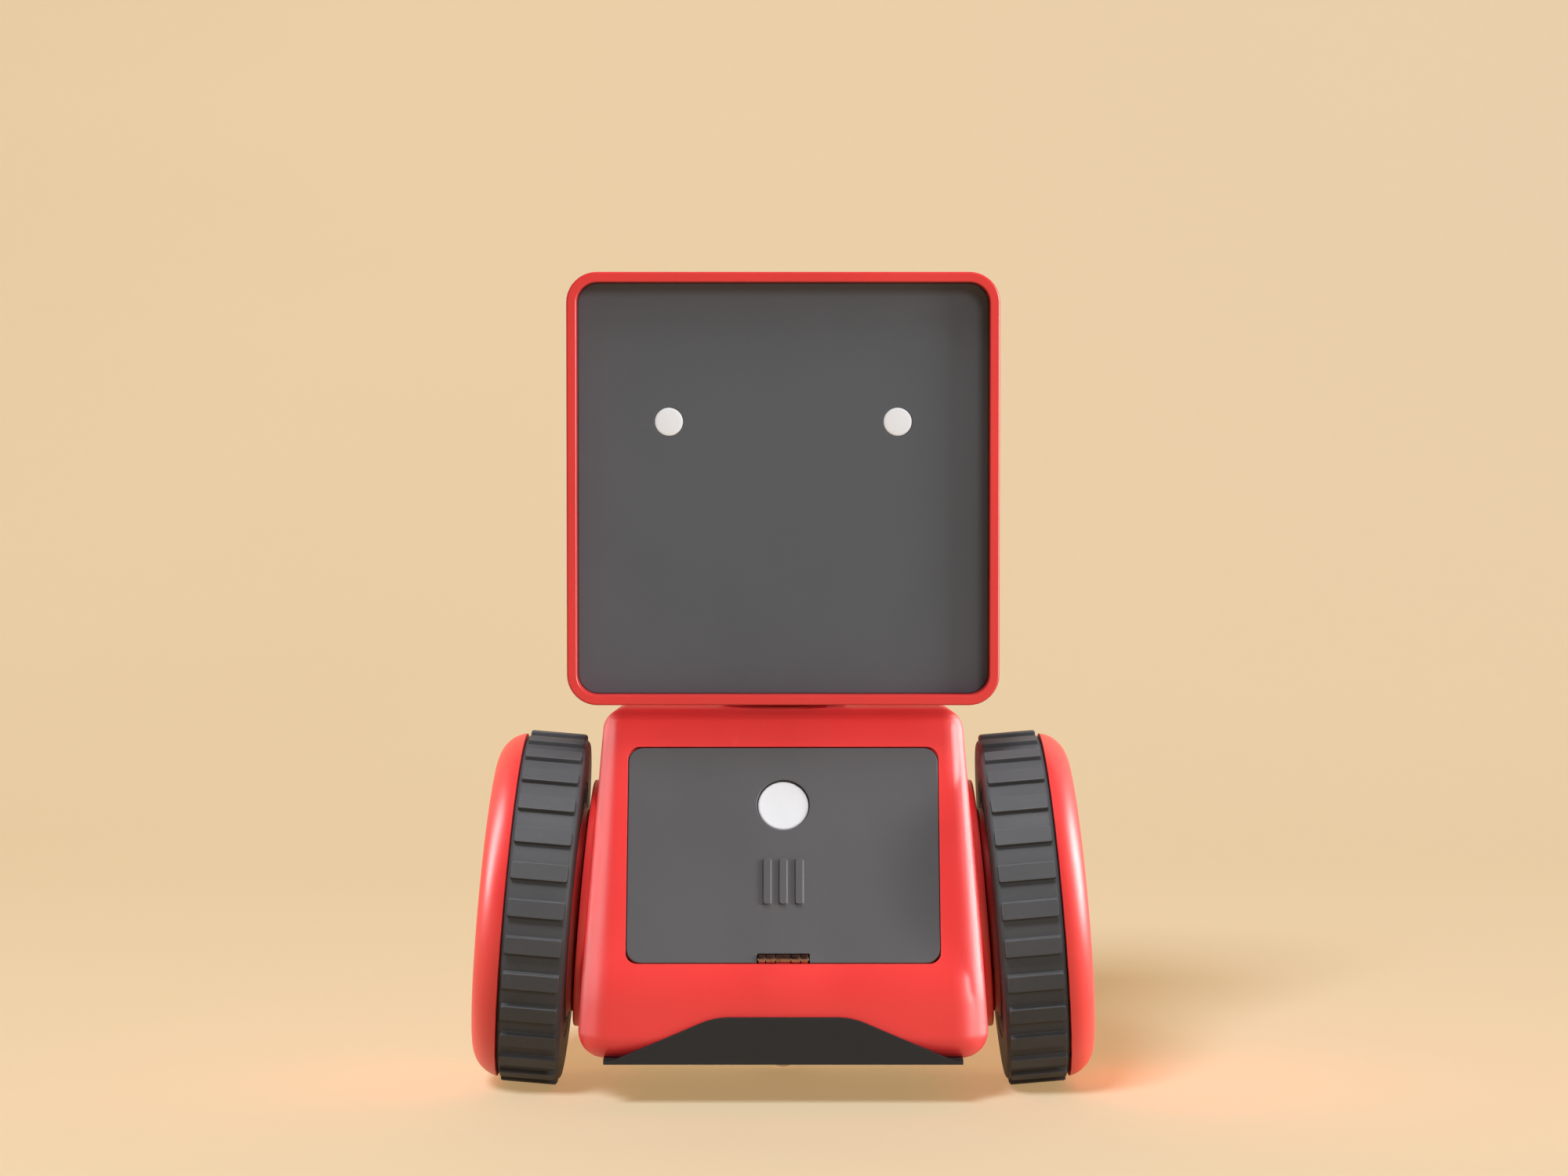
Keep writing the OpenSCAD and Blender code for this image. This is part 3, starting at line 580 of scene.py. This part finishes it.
def build_head():
    half = HEAD_SIZE / 2
    inner = half - RIM_W
    outer_r, inner_r, gap = 0.55, 0.35, 0.22
    loops = [head_loop(inner, HEAD_CORNER - RIM_W, HEAD_SPLIT),
             head_loop(inner, HEAD_CORNER - RIM_W, HEAD_FRONT + 9)]
    for i in range(6):
        a = math.radians(90 * i / 5)
        k = inner_r * (1 - math.cos(a))
        loops.append(head_loop(inner + k, HEAD_CORNER - RIM_W + k, HEAD_FRONT + inner_r * (1 - math.sin(a))))
    for i in range(8):
        a = math.radians(90 * i / 7)
        k = outer_r * (1 - math.sin(a))
        loops.append(head_loop(half - k, HEAD_CORNER - k, HEAD_FRONT + outer_r * (1 - math.cos(a))))
    loops.append(head_loop(half, HEAD_CORNER, HEAD_SPLIT - gap))
    loops.append(head_loop(half - gap, HEAD_CORNER - gap, HEAD_SPLIT))
    piece(loft("head_frame_look", loops, ring=True), "head_frame", 35)

    loops = [head_loop(half - gap, HEAD_CORNER - gap, HEAD_SPLIT),
             head_loop(half, HEAD_CORNER, HEAD_SPLIT + gap)]
    for i in range(13):
        a = math.radians(90 * i / 12)
        k = HEAD_CORNER * (1 - math.cos(a))
        loops.append(head_loop(half - k, HEAD_CORNER - k, HEAD_REAR - HEAD_CORNER * (1 - math.sin(a))))
    back = loft("head_back_look", loops)
    zc = HEAD_Z + half
    cutters = [box("vent", (i * VENT_STEP - VENT_HALF, HEAD_REAR - VENT_T, zc + VENT_LOW),
                   (i * VENT_STEP + VENT_HALF, HEAD_REAR + 3, zc + VENT_HIGH)) for i in range(-4, 5)]
    for x in (-HEAD_SCREW, HEAD_SCREW):
        for z in (-HEAD_SCREW, HEAD_SCREW):
            spot = (Matrix.Translation((x * MM, HEAD_REAR * MM, (zc + z) * MM))
                    @ Matrix.Rotation(math.pi / 2, 4, "X"))
            cutters.append(prism("recess", circle_loop(RECESS_R, 32), -1, RECESS_T, spot @ UNIT))
    cut(back, *cutters)
    tidy(back)
    round_edges(back, 0.3, 50, 2)
    piece(back, "head_back", 35)

    panel_half = inner - 0.05
    y = HEAD_FRONT + FACE_RECESS
    corner = HEAD_CORNER - RIM_W
    loops = [head_loop(panel_half, corner, y + 2.4), head_loop(panel_half, corner, y + 0.35),
             head_loop(panel_half - 0.1, corner - 0.1, y + 0.1), head_loop(panel_half - 0.35, corner - 0.35, y)]
    face = loft("face_panel_look", loops)
    plane = front_matrix(y)
    for x in (-EYE_X, EYE_X):
        cut(face, prism("eye_hole", circle_loop(EYE_D / 2 + 0.05, 64, (x, EYE_Z)), -5, 5, plane))
    tidy(face)
    round_edges(face, 0.18, 50, 2)
    piece(face, "face_panel")

    for side, node in ((-1, "eye_left"), (1, "eye_right")):
        r = EYE_D / 2
        profile = [(0.0005, -3.5), (r, -3.5), (r, -0.45)] + arc(r - 0.4, -0.45, 0.4, 0, 75, 5)
        profile += [(r * k, -0.05 + 0.12 * (1 - k * k)) for k in (0.8, 0.6, 0.4, 0.2, 0.0001)]
        eye = lathe(node + "_look", profile, plane @ Matrix.Translation((side * EYE_X, EYE_Z, 0)), 64)
        piece(eye, node)


# ---------------------------------------------------------------- chest door
def build_door():
    chest = chest_matrix()
    plate = [(x, y + DOOR_L / 2) for x, y in rounded_loop(DOOR_W, DOOR_L, DOOR_CORNER, 8)]
    door = prism("chest_door_look", plate, -DOOR_T, 0, chest)
    for x in (-BAR_STEP, 0, BAR_STEP):
        bar = [(a + x, b + BAR_S) for a, b in rounded_loop(BAR_W, BAR_L, 0.6, 4)]
        unite(door, prism("bar", bar, -0.5, 0.8, chest))
    cut(door, prism("hole", circle_loop(BUTTON_D / 2 + 0.2, 64, (0, BUTTON_S)), -5, 5, chest),
        box("notch", (-NOTCH_W / 2, -2, -5), (NOTCH_W / 2, 2.3, 5), chest))
    tidy(door)
    round_edges(door, 0.25, 50, 3)
    piece(door, "chest_door")

    r = BUTTON_D / 2
    profile = [(0.0005, -3.4), (r - 0.2, -3.4), (r, -3.2), (r, -1.15)] + arc(r - 0.55, -1.15, 0.55, 0, 90, 6)
    profile += [(r * 0.86, -0.62), (r * 0.80, -0.68), (r * 0.4, -0.72), (0.0005, -0.73)]
    stem = [(0.0005, -10.6), (2.3, -10.6), (2.6, -10.3), (2.6, -3.3), (0.0005, -3.3)]
    place = chest @ Matrix.Translation((0, BUTTON_S, 0))
    button = lathe("start_button_look", profile, place, 96)
    unite(button, lathe("stem", stem, place, 48))
    piece(button, "start_button")


def build_hinge():
    for node in ("hinge_leaf_body", "hinge_leaf_door"):
        leaf = cad_copy(node)
        round_edges(leaf, 0.12, 50, 2)
        piece(leaf, node)


# ---------------------------------------------------------------- wheels
def build_wheel(side, name):
    place = wheel_matrix(side)
    h = TYRE_W / 2
    rb = WHEEL_R - LUG_H
    profile = [(RIM_R, -h + 0.3), (RIM_R + 0.3, -h)]
    profile += [(31, -h), (31.4, -h + 0.35), (32.4, -h + 0.35), (32.8, -h), (38.5, -h)]
    profile += arc(rb - 1.5, -h + 1.5, 1.5, -90, 0, 6)
    profile += arc(rb - 1.5, h - 1.5, 1.5, 0, 90, 6)
    profile += [(RIM_R + 0.3, h), (RIM_R, h - 0.3)]
    tyre = lathe("tyre", profile, place, 180)
    verts, faces = [], []
    for i in range(LUGS):
        a = i * 2 * math.pi / LUGS
        turn = Matrix.Rotation(a, 3, "Z")
        rows = []
        for r, grow in ((rb - 0.5, 0.15), (rb + 0.12, 0.02), (rb + 0.4, 0), (LUG_TOP - 0.3, -0.01),
                        (LUG_TOP - 0.1, -0.08), (LUG_TOP, -0.3)):
            w, l = LUG_W / 2 + grow, LUG_L / 2 + grow
            rows.append([turn @ Vector((r, x, y)) for x, y in rounded_loop(2 * w, 2 * l, 0.5, 3)])
        start = len(verts)
        n = len(rows[0])
        for row in rows:
            verts += row
        for j in range(len(rows) - 1):
            low, high = start + j * n, start + (j + 1) * n
            for k in range(n):
                m = (k + 1) % n
                faces.append((low + k, low + m, high + m, high + k))
        faces.append(tuple(start + (len(rows) - 1) * n + k for k in range(n)))
        faces.append(tuple(start + k for k in reversed(range(n))))
    lugs = new_object("lugs", verts, faces, place)
    unite(tyre, lugs)
    tyre.name = "tyre_%s_look" % name
    piece(tyre, "tyre_" + name, 35)

    foot, reach, crown = 8.8, CAP_R - 8, 8.04
    profile = [(0.0005, 0.03), (reach + 7.4, 0.03), (reach + 7.82, 0.2)]
    profile += arc(reach, -1.2, 8, foot + 1.5, 86, 26)
    profile += [(r, crown - r * r / 1020) for r in (35, 30, 26, 22, 18, 14, 10, 6, 3, 0.0005)]
    cap = lathe("hubcap_%s_look" % name, profile, place @ Matrix.Translation((0, 0, h)), 192)
    piece(cap, "hubcap_" + name)

    profile = [(2.0, -h - 1.6), (5.6, -h - 1.6), (6, -h - 1.2), (6, -h - 0.6), (22, -h - 0.6), (22, -h - 1.2)]
    profile += [(22.4, -h - 1.6)] + arc(HUB_R - 0.7, -h - 0.9, 0.7, -90, 0, 5)
    profile += [(HUB_R, -h + 0.02), (RIM_R, -h + 0.02), (RIM_R, h), (2.0, h)]
    rim = lathe("rim_%s_look" % name, profile, place, 128)
    piece(rim, "rim_" + name)


# ---------------------------------------------------------------- belly
def build_belly():
    arc_r, arc_x, slope = 18, 13.2, 23.1
    knee_x = arc_x + arc_r * math.sin(math.radians(slope))
    knee_z = ARCH_Z - arc_r * (1 - math.cos(math.radians(slope)))
    foot_x = knee_x + (knee_z - FLOOR_Z) / math.tan(math.radians(slope))
    right = [(PLATE_W, PLATE_Z + 1), (foot_x + 1.2, FLOOR_Z - 0.3), (foot_x, FLOOR_Z - 0.05)]
    right += arc(arc_x, ARCH_Z - arc_r, arc_r, 90 - slope, 90, 6)
    apron = [(-PLATE_W, PLATE_Z), (PLATE_W, PLATE_Z)] + right + [(-x, z) for x, z in reversed(right)]
    plate = prism("belly_plate_look", apron, -1.0, 1.2, front_matrix(FRONT_LOW))
    unite(plate,
          box("floor", (-PLATE_W, FRONT_LOW - 0.4, PLATE_Z), (PLATE_W, FRONT_LOW + 14.2, FLOOR_Z - 0.01)),
          box("floor2", (-43.2, FRONT_LOW + 13.5, PLATE_Z), (43.2, FRONT_LOW + 73.4, FLOOR_Z)))
    cut(plate, prism("caster_hole", circle_loop(CASTER_R + 0.4, 64, (0, CASTER_Y)), 5, 20))
    for x in (-BELLY_SCREW_X, BELLY_SCREW_X):
        for y in BELLY_SCREW_Y:
            cut(plate, prism("recess", circle_loop(RECESS_R, 32, (x, y)), 9, PLATE_Z + RECESS_T))
    tidy(plate)
    round_edges(plate, 0.5, 50, 1)
    piece(plate, "belly_plate")


def build_rest():
    """CAD pieces that only need rounded edges and a finish."""
    rounded = {"rear_cover": 0.35, "bay_tray": 0.3, "button_collar": 0.25, "motor_housing_left": 0.5,
               "motor_housing_right": 0.5, "caster_housing": 0.3, "neck_collar": 0.3, "neck_ring": 0.15,
               "switch_knob": 0.25, "pan_servo": 0.3, "servo_bracket": 0.2, "battery_holder": 0.3,
               "usb_port": 0.15}
    for node, width in rounded.items():
        look = cad_copy(node)
        round_edges(look, width, 50, 2)
        piece(look, node)
    for node, obj in NODES.items():
        dress(obj, SLOTS[node])


build_body()
build_head()
build_door()
build_hinge()
build_wheel(-1, "left")
build_wheel(1, "right")
build_belly()
build_rest()


# ---------------------------------------------------------------- stage, light, camera
def build_stage():
    m = Shader("paper")
    tone = m.spread(m.noise(2.5, 3), 0.3, 0.7)
    axes = m.add("ShaderNodeSeparateXYZ")
    m.link(m.place, axes.inputs[0])
    # painted light: the paper's colour is made lighter and cooler towards +x, a painted stand-in for light
    # falling more strongly on the right side of the backdrop
    across = m.spread(axes.outputs["X"], -0.5, 0.5)
    base = m.mix(across, (0.795, 0.605, 0.375), (0.825, 0.66, 0.45))
    m.colour(m.mix(m.math("MULTIPLY", tone, 0.3), base, (0.83, 0.66, 0.43)))
    m.roughness(m.spread(m.noise(30), 0.3, 0.7, 0.8, 0.92))
    m.bump([(m.noise(700, 4), 0.02, 0.3)])
    m.set(Specular_IOR_Level=0.2)
    depth, sweep, height = 0.5, 1.6, 3.4
    path = [(-2.5, 0.0), (0.0, 0.0), (depth, 0.0)]
    path += [(depth + sweep * math.sin(a), sweep * (1 - math.cos(a)))
             for a in [math.radians(90 * i / 24) for i in range(1, 25)]]
    path.append((depth + sweep, height))
    verts, faces = [], []
    for y, z in path:
        verts += [(-4, y, z), (4, y, z)]
    for i in range(len(path) - 1):
        faces.append((2 * i, 2 * i + 1, 2 * i + 3, 2 * i + 2))
    floor = new_object("backdrop", verts, faces, Matrix.Identity(4))
    floor.data.shade_smooth()
    floor.data.materials.append(m.mat)
    for poly in floor.data.polygons:
        if poly.normal.z < 0 or (abs(poly.normal.z) < 1e-6 and poly.normal.y > 0):
            poly.flip()


def looks(*starts):
    """Visible pieces whose names begin with one of starts."""
    return [o for o in bpy.context.scene.objects if o.type == "MESH" and o.name.startswith(starts)]


def area_light(name, place, target, size, power, colour, only, gloss=True, shadow=True, matt=True):
    """Softbox that lights only the given pieces. gloss and matt switch its highlights and its diffuse light."""
    data = bpy.data.lights.new(name, "AREA")
    data.shape = "RECTANGLE"
    data.size, data.size_y = size
    data.energy = power
    data.color = colour
    data.use_shadow = shadow
    data.cycles.use_multiple_importance_sampling = shadow
    obj = bpy.data.objects.new(name, data)
    obj.location = place
    obj.rotation_euler = (Vector(target) - Vector(place)).to_track_quat("-Z", "Y").to_euler()
    obj.visible_glossy = gloss
    obj.visible_diffuse = matt
    bpy.context.scene.collection.objects.link(obj)
    receivers = bpy.data.collections.new(name + "_receivers")
    for other in only:
        receivers.objects.link(other)
    obj.light_linking.receiver_collection = receivers


def build_light():
    world = bpy.data.worlds.new("room")
    world.use_nodes = True
    world.node_tree.nodes["Background"].inputs["Color"].default_value = (0.93, 0.97, 1.0, 1)
    world.node_tree.nodes["Background"].inputs["Strength"].default_value = 0.06
    bpy.context.scene.world = world
    white = (1.0, 0.99, 0.98)
    shell = looks("body_shell", "rear_cover", "switch_knob")
    front = looks("chest_door", "face_panel", "head_frame", "start_button", "eye", "hinge", "body_shell")
    paper = looks("backdrop")
    robot = [o for o in bpy.context.scene.objects if o.type == "MESH" and o not in paper]
    for side, name, rear, flank in ((1, "right", 56, 2), (-1, "left", 15, 20)):
        area_light("rim_light_" + name, (side * 1.4, 0.55, 0.5), (0, 0, 0.08), (1.2, 1.4), rear, white, shell,
                   shadow=False)
        area_light("softbox_" + name, (side * 1.45, -0.45, 0.55), (0, 0, 0.08), (0.9, 1.4), flank,
                   white, shell,
                   shadow=False)
    area_light("hub_left", (-1.45, 0.05, 0.75), (0, 0, 0.06), (0.5, 1.2), 40, white, looks("hubcap_left"))
    area_light("hub_right", (1.45, 0.25, 0.45), (0, 0, 0.06), (0.6, 0.9), 52, white, looks("hubcap_right"))
    area_light("rear", (0.7, 1.9, 1.4), (0, 0, 0.1), (1.2, 1.2), 60, white,
               [o for o in robot if o not in shell],
               gloss=False)
    area_light("glint", (1.3, -0.6, 0.45), (0, 0, 0.1), (0.5, 0.8), 15, white, front)
    area_light("sparkle", (1.35, -0.5, 0.4), (0, 0, 0.1), (0.25, 0.5), 40, white,
               looks("chest_door", "head_frame", "hinge", "body_shell", "tyre"), matt=False)
    area_light("top", (0.2, -0.7, 2.6), (0, 0, 0.0), (1.6, 1.6), 70, white, robot, gloss=False)
    area_light("key", (0.8, -2.2, 1.1), (0, 0, 0.08), (0.6, 0.6), 34, white, robot, gloss=False)
    area_light("tread_light", (-0.5, -1.2, 2.2), (0, 0, 0.05), (0.6, 0.6), 76, white, looks("tyre"))
    area_light("paper_key", (-1.2, -3.2, 3.0), (0, 0.6, 0), (1.2, 1.2), 190, (0.64, 0.80, 1.0), paper,
               gloss=False)
    area_light("paper_fill", (0.3, -1.6, 4.6), (0, 0.8, 0), (2.5, 2.5), 140, (1.0, 0.82, 0.60), paper,
               gloss=False,
               shadow=False)


def build_camera():
    data = bpy.data.cameras.new("camera")
    data.sensor_width = 36
    data.lens = 93.9
    data.clip_start = 0.05
    obj = bpy.data.objects.new("camera", data)
    obj.location = (0.0002, -1.039, 0.170)
    obj.rotation_euler = (math.radians(90 - 2.4), 0, 0)
    bpy.context.scene.collection.objects.link(obj)
    bpy.context.scene.camera = obj


build_stage()
build_light()
build_camera()
bpy.context.scene.view_settings.view_transform = "Standard"

bpy.context.view_layer.update()
